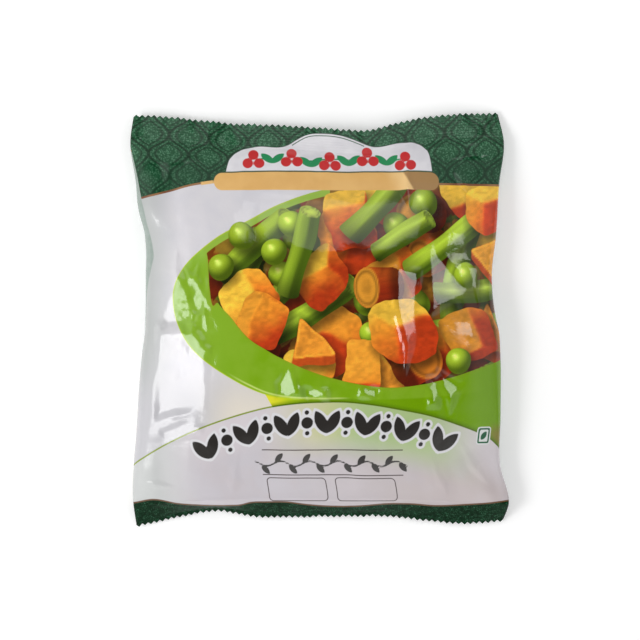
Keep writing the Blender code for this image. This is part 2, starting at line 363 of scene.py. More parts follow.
def film_relief(u, v):
    """Height of the film's folds over the smooth bag.

    Pleats run lengthwise out of both seals, puckers run inwards from the side folds, and between
    them the film lies in low swells and flat-sided facets over the frozen pieces.
    """
    from_seal = np.clip(BODY_HALF - np.abs(v), 0, None) / 15.0
    from_fold = np.clip(HALF_WIDTH - np.abs(u), 0, None) / 10.0
    side = 40 * np.sign(v)
    bent_u = u + 5 * swell(u / 23, v / 23, 15)
    bent_v = v + 5 * swell(u / 23, v / 23, 16)
    pleats = 0.60 * swell(bent_u / 13 + side, v / 80, 11) + 0.22 * swell(u / 5.5 + side, v / 40, 12)
    puckers = 0.55 * swell(u / 60, bent_v / 15 + np.sign(u) * 20, 13) + 0.2 * facets(
        u / 22, bent_v / 7, 14)
    filled = smooth(0.0, 1.2, from_seal) * smooth(0.0, 1.0, from_fold)
    relief = pleats * from_seal * np.exp(1 - from_seal) * smooth(0, 0.6, from_fold)
    relief += puckers * from_fold * np.exp(1 - from_fold) * smooth(0, 0.5, from_seal)
    crinkled = np.exp(-(((u + 68) / 13) ** 2) - ((v - 12) / 22) ** 2) + 0.5 * np.exp(
        -(((u - 70) / 22) ** 2) - ((v - 12) / 40) ** 2)
    crinkled += 1.4 * np.exp(-(((u + 73) / 12) ** 2) - ((v + 30) / 24) ** 2)
    crumpled = np.exp(-(((u + 71) / 11) ** 2) - ((v - 2) / 24) ** 2)
    relief += filled * (
        0.30 * swell(u / 25, v / 28, 17) + 0.10 * swell(u / 9, v / 8, 18)
        + 0.30 * facets(bent_u / 20, bent_v / 25, 19) + 0.05 * facets(bent_v / 8, bent_u / 9, 20)
        + crinkled * (0.30 * facets(bent_u / 6, v / 9, 23) + 0.12 * facets(u / 3.2, v / 4.4, 24))
        + crumpled * (1.1 * facets(bent_u / 4.6, bent_v / 7.4, 26) + 0.4 * facets(u / 2.4, v / 3.3, 27))
    )
    return relief + crease_relief(u, v)


def length_property(name, description, default):
    """A length setting, given in millimetres."""
    return FloatProperty(
        name=name, description=description, default=default * MM, subtype="DISTANCE", unit="LENGTH")


def number_property(name, description, default, **limits):
    """A setting without a unit, whole where its default is."""
    kind = IntProperty if isinstance(default, int) else FloatProperty
    return kind(name=name, description=description, default=default, **limits)


def colour_property(name, description, red, green, blue):
    """A colour setting whose default is a display colour from 0 to 255."""
    return FloatVectorProperty(
        name=name, description=description, subtype="COLOR", size=4, min=0.0, max=1.0,
        default=srgb(red, green, blue))


class FilmSettings(bpy.types.PropertyGroup):
    """Sizes of the film that a user would change."""

    teeth: number_property("Teeth", "Teeth of the zigzag cut edge, fold to fold", 62, min=20)
    tooth_depth: length_property("Tooth depth", "Depth of the zigzag cut", 1.3)
    rib_depth: length_property("Rib depth", "Depth of the crimp ribs in the end seals", 0.24)
    ribs: number_property("Ribs", "Crimp ribs in each end seal", 9, min=2)
    fold_depth: number_property(
        "Fold depth", "How strongly the film is creased, 1 as modelled", 1.0, min=0.0, max=2.0,
        subtype="FACTOR")
    seam_width: length_property("Seam width", "Width of the flattened seam on the back", 10.0)
    gloss_roughness: number_property(
        "Gloss roughness", "Roughness of the glossy film", 0.08, min=0.0, max=1.0, subtype="FACTOR")


class PrintSettings(bpy.types.PropertyGroup):
    """Colours of the print, and of the painted shade at the left fold, that a user would change."""

    ground: colour_property("Ground", "Pale ground of the front", 220, 217, 221)
    # Painted shade: the ground greyed where the film turns down at the left fold
    ground_fold_shade: colour_property("Ground at the fold", "Ground beside the left fold", 182, 185, 183)
    panel: colour_property("Panel", "Ground under the arch", 196, 191, 197)
    panel_right: colour_property("Panel, right", "Right end of the panel", 195, 184, 184)
    back: colour_property("Back", "Ground of the back panel", 156, 168, 161)
    header: colour_property("Header", "Dark green of the header", 22, 78, 46)
    header_line: colour_property("Header lines", "Lattice lines of the header", 0, 40, 16)
    foot: colour_property("Foot", "Dark green of the foot", 0, 28, 8)
    gold: colour_property("Gold line", "Thin line beside the green bands", 160, 118, 78)
    bar: colour_property("Bar", "Tan bar under the plaque", 234, 186, 112)
    plaque: colour_property("Plaque", "White plaque in the header", 230, 228, 232)
    bowl: colour_property("Bowl", "Green of the bowl", 122, 168, 16)
    bowl_light: colour_property("Bowl, lit", "Lit side of the bowl", 146, 186, 62)
    bowl_dark: colour_property("Bowl, shaded", "Shaded side of the bowl", 114, 160, 0)
    ink: colour_property("Ink", "Near-black ink of the ornaments", 44, 42, 40)
    seam: colour_property("Seam", "Back seam", 178, 188, 183)


class StageSettings(bpy.types.PropertyGroup):
    """Floor, lights and camera."""

    floor_size: length_property("Floor size", "Side of the square floor", 6000.0)
    floor_glow: number_property(
        "Floor glow", "Light that the floor gives off itself, which keeps it white", 0.22)
    key_power: number_property("Key power", "Power of the soft light at the left, in watts", 3.8)
    fill_power: number_property(
        "Fill power", "Power of the soft light above the picture, in watts", 1.5)
    side_power: number_property(
        "Side power", "Power of the small soft light at the right, in watts", 0.45)
    view_width: length_property("View width", "Width of the view at the bag", 336.6)
    camera_height: length_property("Camera height", "Height of the camera over the floor", 1200.0)


def rounded_box(x, y, half_x, half_y, corner):
    """Signed distance into a rectangle with round corners, positive inside."""
    past_x, past_y = np.abs(x) - half_x + corner, np.abs(y) - half_y + corner
    outside = np.hypot(np.maximum(past_x, 0), np.maximum(past_y, 0))
    return corner - outside - np.minimum(np.maximum(past_x, past_y), 0)


def oval(x, y, place, size, power=2.0):
    """Signed distance into an oval |x/a|^p + |y/b|^p = 1, near enough by its slope."""
    x, y = (x - place[0]) / size[0], (y - place[1]) / size[1]
    radius = (np.abs(x) ** power + np.abs(y) ** power) ** (1 / power)
    slope = np.hypot(x / size[0], y / size[1]) / np.maximum(np.hypot(x, y), 1e-6)
    return (1 - radius) / np.maximum(slope, 1e-6)


def over(stations, u, y):
    """Signed distance over a curve: the height over it, shortened where the curve is steep."""
    rise = through(stations, u + 0.5) - through(stations, u - 0.5)
    return (y - through(stations, u)) / np.hypot(1, rise)


def leaf(x, y, place, angle, length, width):
    """Signed distance into a pointed leaf: where two equal discs overlap."""
    turn_x, turn_y = math.cos(angle), math.sin(angle)
    along = (x - place[0]) * turn_x + (y - place[1]) * turn_y
    aside = np.abs((y - place[1]) * turn_x - (x - place[0]) * turn_y)
    radius = (length**2 + width**2) / (4 * width)
    return radius - np.hypot(along, aside + radius - width / 2)


def bowl_rim(u, y, sag=0.0):
    """Signed distance into the bowl's rim: half ovals of unlike height, the upper one pointed.

    With a `sag` of 1 both edges run as far under the half ovals as RIM_SAG says.
    """
    far_drop, near_drop = (sag * held(stations, u) for stations in RIM_SAG)
    high = oval(u, y + far_drop, BOWL_PLACE, (BOWL_WIDE, BOWL_UP), 1.8)
    low = oval(u, y + near_drop, BOWL_PLACE, (BOWL_WIDE, BOWL_DOWN), 2.2)
    return np.where(y > BOWL_PLACE[1], high, low)


def print_shapes(u, y, is_printed_front):
    """Signed distances in millimetres to the outlines of the print's shapes, positive inside."""
    under_top = -over(PLAQUE_TOP, np.clip(u, PLAQUE_TOP[0][0], PLAQUE_TOP[-1][0]), y)
    over_bar = y - BAR_MIDDLE[1]
    rim, body = bowl_rim(u, y, 1.0), oval(u, y, BOWL_BODY_PLACE, BOWL_BODY_SIZE)
    berries, sprig = garland(u, y)
    shapes = {
        "arch": -over(ARCH_BORDER, u, y),
        "bar": rounded_box(u - BAR_MIDDLE[0], over_bar - held(BAR_SAG, u), *BAR_HALF, BAR_CORNER),
        "plaque": np.minimum.reduce(
            (under_top, u - PLAQUE_ENDS[0], PLAQUE_ENDS[1] - u, over_bar - 2.0)),
        "dome": np.where((u > DOME_SPAN[0]) & (u < DOME_SPAN[1]), under_top, -OUTSIDE),
        "rim": rim, "body": body, "food": over(FOOD_EDGE, u, y),
        "bowl": np.maximum(rim, np.minimum(body, BOWL_PLACE[1] - y)),
        "boxes": np.maximum(*(
            rounded_box(u - x, y - height, half_x, half_y, BOX_CORNER)
            for x, height, half_x, half_y in BOXES)),
        "rules": RULES_HALF[1] - np.abs(y - RULES_MIDDLE[1]),
        "rules_span": RULES_HALF[0] - np.abs(u - RULES_MIDDLE[0]),
        "mark": rounded_box(u - MARK_PLACE[0], y - MARK_PLACE[1], *MARK_HALF, MARK_CORNER),
        "mark_leaf": leaf(u, y, MARK_PLACE, math.radians(58), 5.2, 2.9),
        "title": title_row(u, y), "small_row": small_row(u, y), "berries": berries, "sprig": sprig,
    }
    return {name: np.where(is_printed_front, shape, OUTSIDE) for name, shape in shapes.items()}


def title_row(u, y):
    """A bold row of plain leaf pairs with discs between them, which follows the arch."""
    row = np.full_like(u, OUTSIDE)
    places = np.linspace(-57, 66, 13)
    for index, (place, height) in enumerate(zip(places, through(TITLE_ARC, places))):
        tilt = math.atan(float(np.diff(through(TITLE_ARC, np.array((place - 1, place + 1))))[0]) / 2)
        across, along = turn_to(u, y, (place, height), tilt)
        if index % 2:
            row = np.maximum(row, 3.0 - np.hypot(across, along))
            row = np.maximum(row, 1.2 - np.hypot(across, np.abs(along) - 5.4))
            continue
        for lean in (-1, 1):
            row = np.maximum(row, leaf(
                across, along, (lean * 3.1, 0.0), math.radians(90 - 27 * lean), 13.4, 5.8))
    return row


def small_row(u, y):
    """A thin wavy stem with small leaves between the two rules."""
    middle = RULES_MIDDLE[1] - 0.6
    wave = middle + 1.3 * np.sin((u - 8) * 2 * math.pi / 15.0)
    row = np.minimum(0.42 - np.abs(y - wave) * 0.88, 40.0 - np.abs(u - 8))
    for index, place in enumerate(np.linspace(-28, 44, 11)):
        lean = 1 if index % 2 else -1
        stem = middle + 1.3 * math.sin((place - 8) * 2 * math.pi / 15.0)
        row = np.maximum(row, leaf(
            u, y, (place + 1.4, stem + 2.6 * lean), math.radians(50 * lean), 6.2, 2.9))
    return row


def garland(u, y):
    """A plain garland for the plaque: red berries in threes, and green leaf pairs."""
    berries, leaves = np.full_like(u, OUTSIDE), np.full_like(u, OUTSIDE)
    for index, place in enumerate(np.linspace(-34, 46, 9)):
        height = 83.6 + 1.3 * math.sin(index * 1.3)
        if index % 2:
            for lean in (-1, 1):
                leaves = np.maximum(leaves, leaf(
                    u, y, (place + 2.6 * lean, height - 0.6), math.radians(90 - 52 * lean), 9.0, 3.8))
            continue
        for aside, rise in ((-3.0, -2.0), (3.0, -2.0), (0.0, 2.7)):
            berries = np.maximum(berries, 2.75 - np.hypot(u - place - aside, y - height - rise))
    stem = np.minimum(0.4 - np.abs(y - 83.2 - 0.8 * np.sin(u / 6)), 38 - np.abs(u - 6))
    return berries, np.maximum(leaves, stem)


LIGHT = np.array((-0.38, 0.52, 0.765))
SHADOW_SHIFT = (1.9, -2.6)
REACH = 40.0  # no piece of the heap reaches further from its place


def tone(normal, base, shade, shine, sharpness=18.0):
    """Display colour of a lit surface: shade to base by the light, with a soft highlight."""
    lit = np.clip(normal @ LIGHT, 0, 1)[..., None]
    halfway = LIGHT + np.array((0, 0, 1))
    halfway = halfway / np.linalg.norm(halfway)
    glint = np.clip(normal @ halfway, 0, 1)[..., None] ** sharpness
    colour = between(np.array(shade), np.array(base), smooth(0.15, 0.95, lit))
    return np.clip(colour + shine * 255 * glint, 0, 255)


def turn_to(x, y, place, angle):
    """Coordinates from `place`, with the first along `angle`."""
    x, y = x - place[0], y - place[1]
    return x * math.cos(angle) + y * math.sin(angle), y * math.cos(angle) - x * math.sin(angle)


def pea(x, y, piece):
    """A ball: its normal at (x, y) is (x, y, sqrt(r^2 - x^2 - y^2)) / r."""
    x, y = x - piece["place"][0], y - piece["place"][1]
    turn = np.arctan2(y, x)
    radius = piece["size"] * (1 + 0.025 * np.sin(3 * turn + piece["angle"]))
    away = np.hypot(x, y)
    flat = np.minimum(away / radius, 0.985)
    scale = flat / np.maximum(away, 1e-6)
    normal = np.stack((x * scale, y * scale, np.sqrt(1 - flat**2)), axis=-1)
    normal[..., :2] += 0.05 * swell(x / 2.4, y / 2.4, piece["grain"])[..., None]
    colour = tone(normal, piece["base"], piece["shade"], 0.30, 34.0)
    spot = np.exp(-((x + 0.36 * radius) ** 2 + ((y - 0.44 * radius) / 0.8) ** 2) / 0.9)
    colour = colour + 70 * spot[..., None]
    bounce = np.clip(-(x * 0.3 + y * 0.9) / radius - 0.72, 0, 1)[..., None]
    return radius - away, np.clip(colour + bounce * np.array((70, 60, 20)), 0, 255)


def rod(x, y, piece):
    """A cylinder that lies at `angle`, its near end tilted up towards the eye.

    Its outline is a band of half width r closed by half ovals. The near oval is the cut end.
    """
    radius, tilt = piece["size"], piece["tilt"]
    along, aside = turn_to(x, y, piece["place"], piece["angle"])
    aside = aside - piece["bend"] * along**2
    radius = radius * (1 + 0.05 * np.sin(along / 5.0 + piece["grain"]))
    half, depth = piece["half"] * math.cos(tilt), radius * math.sin(tilt)
    across = np.clip(aside / radius, -0.985, 0.985)
    bulge = np.sqrt(1 - across**2)
    distance = np.minimum(radius - np.abs(aside), half + depth * bulge - np.abs(along))
    round_x, round_z = -math.sin(tilt) * bulge, math.cos(tilt) * bulge
    cos_a, sin_a = math.cos(piece["angle"]), math.sin(piece["angle"])
    normal = np.stack(
        (round_x * cos_a - across * sin_a, round_x * sin_a + across * cos_a, round_z), axis=-1)
    colour = tone(normal, piece["base"], piece["shade"], piece["shine"], 26.0)
    streak = swell(along / 15 + piece["grain"], aside / 1.3, 31)
    seam = np.exp(-(((aside + 0.25 * radius) / 0.5) ** 2))
    colour = colour * (1 + 0.09 * streak - 0.10 * seam * piece["shine"] / 0.22)[..., None]
    colour = colour * between(0.6, 1.0, smooth(-half * 1.25, -half * 0.45, along))[..., None]
    end = 1 - np.hypot((along - half) / np.maximum(depth, 0.6), across)
    face = tone(
        np.broadcast_to((math.cos(tilt) * cos_a, math.cos(tilt) * sin_a, math.sin(tilt)),
                        normal.shape), piece["end"], piece["end_shade"], 0.0)
    ring = np.exp(-(((end - 0.20) / 0.09) ** 2)) * 0.30
    seeds = smooth(0.2, 0.8, swell(along / 1.9, aside / 1.9, piece["grain"])) * smooth(0.3, 0.5, end)
    core = smooth(0.45, 0.75, end) * piece["core"] - 0.22 * seeds * piece["shine"] / 0.22
    face = face * (1 - ring + core)[..., None]
    return distance, np.clip(between(colour, face, smooth(-0.07, 0.07, end)[..., None]), 0, 255)


def turning(angle, first, second):
    """Matrix that turns the axis `first` towards the axis `second`."""
    matrix = np.eye(3)
    matrix[first, first] = matrix[second, second] = math.cos(angle)
    matrix[second, first], matrix[first, second] = math.sin(angle), -math.sin(angle)
    return matrix


def chunk(x, y, piece):
    """A cut block: three faces of a turned box, where the eye's ray first leaves it.

    Its outline is the six-sided shape whose reach across each edge is the sum of the other two.
    """
    x, y = x - piece["place"][0], y - piece["place"][1]
    grain = piece["grain"]
    x = x + 1.3 * swell(x / 9, y / 9, grain) + 0.35 * swell(x / 2.8, y / 2.8, grain + 1)
    y = y + 1.3 * swell(x / 9, y / 9, grain + 2) + 0.35 * swell(x / 2.8, y / 2.8, grain + 3)
    roll = 0.6 if piece["corner"] else 0.0
    axes = turning(piece["tilt"], 1, 2) @ turning(piece["angle"], 0, 1) @ turning(roll, 2, 0)
    half = np.array(piece["block"])
    edges = (axes * half)[:2].T
    reach = []
    for edge in edges:
        length = max(math.hypot(*edge), 1e-3)
        wide = sum(abs(other[0] * edge[1] - other[1] * edge[0]) for other in edges) / length
        reach.append(wide - np.abs(x * edge[1] - y * edge[0]) / length)
    distance = -1.9 * np.log(sum(np.exp(-one / 1.9) for one in reach))
    facing = np.where(axes[2] >= 0, 1.0, -1.0)
    leave = np.stack([
        (half[i] - facing[i] * (axes[0, i] * x + axes[1, i] * y)) / max(abs(axes[2, i]), 0.05)
        for i in range(3)])
    weight = np.exp(-(leave - leave.min(axis=0)) / 1.3)
    weight = weight / weight.sum(axis=0)
    colour = 0
    for i in range(3):
        normal = axes[:, i] * facing[i]
        lit = smooth(0.1, 1.0, float(np.clip(normal @ LIGHT, 0, 1)))
        fall = lit + 0.026 * (y - x * 0.4) + 0.10 * swell(x / 6, y / 6, grain + 6)
        stops = zip(piece["shade"], piece["mid"], piece["base"])
        face = np.stack([np.interp(fall, (0.05, 0.5, 0.95), stop) for stop in stops], axis=-1)
        colour = colour + weight[i][..., None] * face
    edge_glow = 1 - weight.max(axis=0)
    fibre = 0.09 * swell(x / 1.9, y / 1.3, grain + 4) + 0.05 * swell(x / 5, y / 5, grain + 5)
    return distance, np.clip(colour * (1 + fibre + 0.26 * edge_glow)[..., None], 0, 255)


def slice_piece(x, y, piece):
    """A flat three-sided slice over the band of its own edge, which hangs below it."""
    x, y = x - piece["place"][0], y - piece["place"][1]
    grain, thick = piece["grain"], 0.5 * piece["block"][2]
    x = x + 0.9 * swell(x / 8, y / 8, grain)
    y = y + 0.9 * swell(x / 8, y / 8, grain + 1)
    turns = piece["angle"] + np.array((0.0, 2.2, 4.0))
    far = np.array((piece["block"][0] * 0.95, piece["block"][1] * 0.8, piece["block"][0] * 0.75))

    def outline(drop):
        lines = [reach - x * math.cos(turn) - (y + drop) * math.sin(turn)
                 for reach, turn in zip(far, turns)]
        return -1.3 * np.log(sum(np.exp(-line / 1.3) for line in lines))

    top = outline(-0.5 * thick)
    distance = np.maximum.reduce([outline(drop * thick) for drop in (-0.5, -0.17, 0.17, 0.5)])
    fibre = 0.12 * swell(x / 1.6, y / 1.3, grain + 4) + 0.08 * swell(x / 5, y / 5, grain + 5)
    rim = np.exp(-(((top - 0.5) / 0.6) ** 2))
    upper = between(np.array(piece["base"]), np.array(piece["shade"]), 0.12) * (
        1 + fibre + 0.2 * rim)[..., None]
    lower = between(np.array(piece["shade"]), np.array(piece["base"]), 0.15) * (
        1 + 0.6 * fibre)[..., None]
    return distance, np.clip(between(lower, upper, smooth(-0.4, 0.4, top)[..., None]), 0, 255)


DRAWN = {"pea": pea, "bean": rod, "coin": rod, "chunk": chunk, "slice": slice_piece}
KINDS = {
    "pea": {"size": (6.6, 7.7), "base": (176, 206, 50), "shade": (82, 104, 16)},
    "bean": {"size": (5.3, 6.3), "half": (18.0, 31.0), "tilt": (0.22, 0.6), "shine": 0.22,
             "base": (180, 210, 56), "shade": (74, 98, 18), "end": (192, 210, 82),
             "end_shade": (128, 152, 42), "core": 0.10},
    "coin": {"size": (8.5, 12.0), "half": (6.0, 10.0), "tilt": (0.7, 1.1), "shine": 0.06,
             "base": (224, 108, 34), "shade": (164, 50, 20), "end": (234, 164, 54),
             "end_shade": (212, 104, 30), "core": -0.08},
    "chunk": {"base": (250, 198, 66), "mid": (240, 146, 44), "shade": (200, 64, 24)},
    "slice": {"base": (234, 168, 54), "shade": (184, 64, 24)},
}
BED = ("chunk", "coin", "chunk", "bean", "slice", "chunk", "pea")
LAYERS = (
    "chunk bean coin chunk bean chunk slice bean chunk coin bean chunk slice coin chunk pea bean "
    "chunk pea slice pea chunk bean pea pea chunk pea coin pea pea chunk chunk",
    "chunk bean coin chunk bean slice chunk bean pea coin chunk pea chunk bean pea chunk pea "
    "slice pea pea chunk pea pea",
    "chunk bean coin pea chunk bean slice chunk pea bean chunk pea coin bean pea chunk pea pea",
    "bean chunk pea slice bean chunk pea chunk pea pea bean",
)


def new_piece(kind, place, random):
    """One piece of the heap with its own size, turn and ripeness."""
    traits = KINDS[kind]
    ripe = random.uniform(0.88, 1.06)
    piece = {
        "kind": kind, "place": place, "angle": random.uniform(-math.pi, math.pi),
        "size": random.uniform(*traits.get("size", (1, 2))), "grain": int(random.integers(100, 900)),
        "half": random.uniform(*traits.get("half", (1, 2))),
        "tilt": random.uniform(*traits.get("tilt", (0.45, 0.9))),
        "bend": random.uniform(-0.0035, 0.0035) if kind == "bean" else 0.0,
        "block": random.uniform(8.0, 13.0, 3), "corner": random.uniform() < 0.55,
        "base": np.array(traits["base"]) * ripe, "shade": np.array(traits["shade"]) * ripe,
    }
    for name in ("mid", "end", "end_shade", "core", "shine"):
        piece[name] = np.array(traits.get(name, 0)) * 1.0
    if kind in ("chunk", "slice") and random.uniform() < 0.5:
        piece["base"] = np.array((240, 160, 52)) * ripe
    if kind == "bean":
        piece["angle"] = random.choice((0.4, 0.6, 2.3, -0.9, 1.3)) + random.uniform(-0.3, 0.3)
    return piece


def food_room(u, y):
    """Signed distance into the part of the print that holds the vegetables."""
    return np.minimum(over(FOOD_EDGE, u, y), np.maximum(bowl_rim(u, y) - 6.0, u - 6.0))


def heap_pieces():
    """The bed and the layers over it. In a layer each piece takes the barest of some tried places."""
    random = np.random.default_rng(23)
    bed = []
    for number, (column, row) in enumerate(np.ndindex(14, 10)):
        place = (-62 + 13.0 * column + random.uniform(-4, 4), -42 + 13.0 * row + random.uniform(-4, 4))
        bed.append(new_piece(BED[(5 * number + row) % len(BED)], place, random))
    x, y = np.meshgrid(np.arange(-76, 116, 2.0), np.arange(-50, 86, 2.0))
    wanted = (food_room(x, y) > -3) & (y < 70)
    barred = ((over(FOOD_EDGE, x, y) > 0) | (x < -52)) & ~wanted & (y < 70)
    bare = wanted.astype(float)
    layers = [bed]
    for kinds in LAYERS:
        taken, layer = np.zeros_like(wanted), []
        for kind in kinds.split():
            best, best_gain, best_mask = None, 2.5, None
            for _ in range(30):
                place = (random.uniform(-54, 102), random.uniform(-36, 70))
                piece = new_piece(kind, place, random)
                mask = DRAWN[kind](x, y, piece)[0] > -1.2
                if (mask & taken).any() or (mask & barred).sum() > 5:
                    continue
                gain = (mask * bare).sum() / math.sqrt(max(mask.sum(), 1))
                if gain > best_gain:
                    best, best_gain, best_mask = piece, gain, mask
            if best is not None:
                layer.append(best)
                taken |= best_mask
                bare[best_mask] *= 0.3
        bare = np.maximum(bare, 0.22 * wanted)
        layers.append(layer)
    return layers


def heap_picture(u, y):
    """Colour and signed outline distance of each layer of the heap, at the points given."""
    layers = heap_pieces()
    flat_u, flat_y = u.ravel(), y.ravel()
    distance = np.full((len(layers), flat_u.size), OUTSIDE)
    colour = np.zeros((len(layers), flat_u.size, 3))
    light = np.ones((len(layers), flat_u.size))
    for level, layer in enumerate(layers):
        for piece in layer:
            place = piece["place"]
            near = np.flatnonzero(
                (np.abs(flat_u - place[0]) < REACH) & (np.abs(flat_y - place[1]) < REACH))
            draw = DRAWN[piece["kind"]]
            inside, face = draw(flat_u[near], flat_y[near], piece)
            wins = inside > distance[level, near]
            colour[level, near] = np.where(wins[:, None], face, colour[level, near])
            distance[level, near] = np.maximum(distance[level, near], inside)
            if level == 0:
                continue
            shadow = draw(flat_u[near] - SHADOW_SHIFT[0], flat_y[near] - SHADOW_SHIFT[1], piece)[0]
            shadow = 1 - 0.47 * smooth(-4.5, 2.5, shadow)
            light[:level, near] = np.minimum(light[:level, near], shadow)
    light[0] *= 0.6
    return distance.reshape(-1, *u.shape), (colour * light[..., None]).reshape(-1, *u.shape, 3)


def write_attribute(mesh, name, values):
    """Stores one number or one colour with alpha for each point of the mesh."""
    kind, field = ("FLOAT_COLOR", "color") if values.ndim == 2 else ("FLOAT", "value")
    layer = mesh.attributes.new(name, kind, "POINT")
    layer.data.foreach_set(field, values.astype(np.float32).ravel())


def write_uv(mesh, name, u, v):
    """Stores a UV map, given as one pair for each face corner."""
    layer = mesh.uv_layers.new(name=name)
    layer.data.foreach_set("uv", np.stack((u, v), axis=-1).astype(np.float32).ravel())


def display(colour):
    """Three numbers from 0 to 255 as a display colour; anything else as it is."""
    return srgb(*colour) if isinstance(colour, tuple) and len(colour) == 3 else colour


class Graph:
    """Builds the nodes of a material or a sky, one call for each node."""

    def __init__(self, owner, shader="Principled BSDF"):
        owner.use_nodes = True
        self.owner, self.tree = owner, owner.node_tree
        self.shader = self.tree.nodes[shader]

    def put(self, socket, value):
        """Links a socket to another one, or sets it to a plain value."""
        if isinstance(value, bpy.types.NodeSocket):
            self.tree.links.new(value, socket)
        elif value is not None:
            socket.default_value = value

    def node(self, kind, inputs=(), output=0, **settings):
        node = self.tree.nodes.new(kind)
        for name, value in settings.items():
            setattr(node, name, value)
        for index, value in dict(inputs).items():
            self.put(node.inputs[index], value)
        return node.outputs[output]

    def shade(self, inputs):
        """Sets the shader's sockets and gives the finished material."""
        for name, value in inputs.items():
            self.put(self.shader.inputs[name], value)
        return self.owner

    def math(self, operation, *values):
        return self.node("ShaderNodeMath", enumerate(values), operation=operation)

    def less(self, value, taken):
        return self.math("SUBTRACT", value, taken)

    def attribute(self, name, output="Fac"):
        return self.node("ShaderNodeAttribute", output=output, attribute_name=name)

    def ramp(self, value, low, high, start=0.0, end=1.0):
        """Smooth rise of `value` from `start` at low to `end` at high."""
        return self.node(
            "ShaderNodeMapRange", enumerate((value, low, high, start, end)),
            interpolation_type="SMOOTHSTEP")

    def product(self, *factors):
        """Product of sockets and numbers. A tuple stands for a ramp's value, ends and range."""
        result = None
        for factor in factors:
            factor = self.ramp(*factor) if isinstance(factor, tuple) else factor
            result = factor if result is None else self.math("MULTIPLY", result, factor)
        return result

    def inside(self, name, edge=0.22):
        """1 inside the shape whose signed distance is stored under `name`."""
        return self.ramp(self.attribute(name), -edge, edge)

    def line(self, value, half_width, edge=0.16):
        """1 within half_width of the place where `value` is 0."""
        return self.ramp(self.math("ABSOLUTE", value), half_width + edge, half_width - edge)

    def coats(self, below, *layers):
        """Lays colours over one another, each by the product of the shares after it."""
        for colour, *shares in layers:
            node = self.tree.nodes.new("ShaderNodeMix")
            node.data_type = "RGBA"
            self.put(node.inputs["Factor"], self.product(*shares))
            self.put(node.inputs[6], display(below))
            self.put(node.inputs[7], display(colour))
            below = node.outputs[2]
        return below

    def noise(self, vector, scale, detail=2.0, roughness=0.5):
        return self.node("ShaderNodeTexNoise", {
            "Vector": vector, "Scale": scale, "Detail": detail, "Roughness": roughness})

    def bump(self, height, strength, distance):
        return self.node(
            "ShaderNodeBump", {"Strength": strength, "Distance": distance, "Height": height})


def header_colour(graph, u, v, net, paint):
    """Dark green with a lattice of pointed ovals: two families of waves, |sin(u +- sin v)|."""
    wave = graph.product(
        graph.math("SINE", graph.product(v, 2 * math.pi / LATTICE_HIGH)), math.pi / 4)
    turn = graph.product(u, math.pi / LATTICE_WIDE)
    first = graph.math("ABSOLUTE", graph.math("SINE", graph.less(turn, wave)))
    second = graph.math("ABSOLUTE", graph.math("COSINE", graph.math("ADD", turn, wave)))
    away = graph.product(graph.math("MINIMUM", first, second), LATTICE_WIDE / math.pi)
    # Painted sheen: pale flecks between the lattice lines stand in for glare on the glossy film
    sheen_fleck = graph.ramp(graph.node(
        "ShaderNodeTexVoronoi", {"Vector": net, "Scale": 1.0}, output="Distance"), 0.12, 0.70)
    rough = graph.noise(net, 1.3, 3.0, 0.7)
    ring = graph.product(graph.line(graph.less(away, 3.5), 0.6, 0.7), 0.9)
    line = graph.math("MAXIMUM", graph.line(away, 0.95, 0.7), ring)
    return graph.coats(
        paint.header, ((94, 148, 114), (rough, 0.30, 0.70, 0.15, 1.0), graph.less(1.0, sheen_fleck)),
        (paint.header_line, line, (rough, 0.2, 0.6, 0.5, 0.95)))


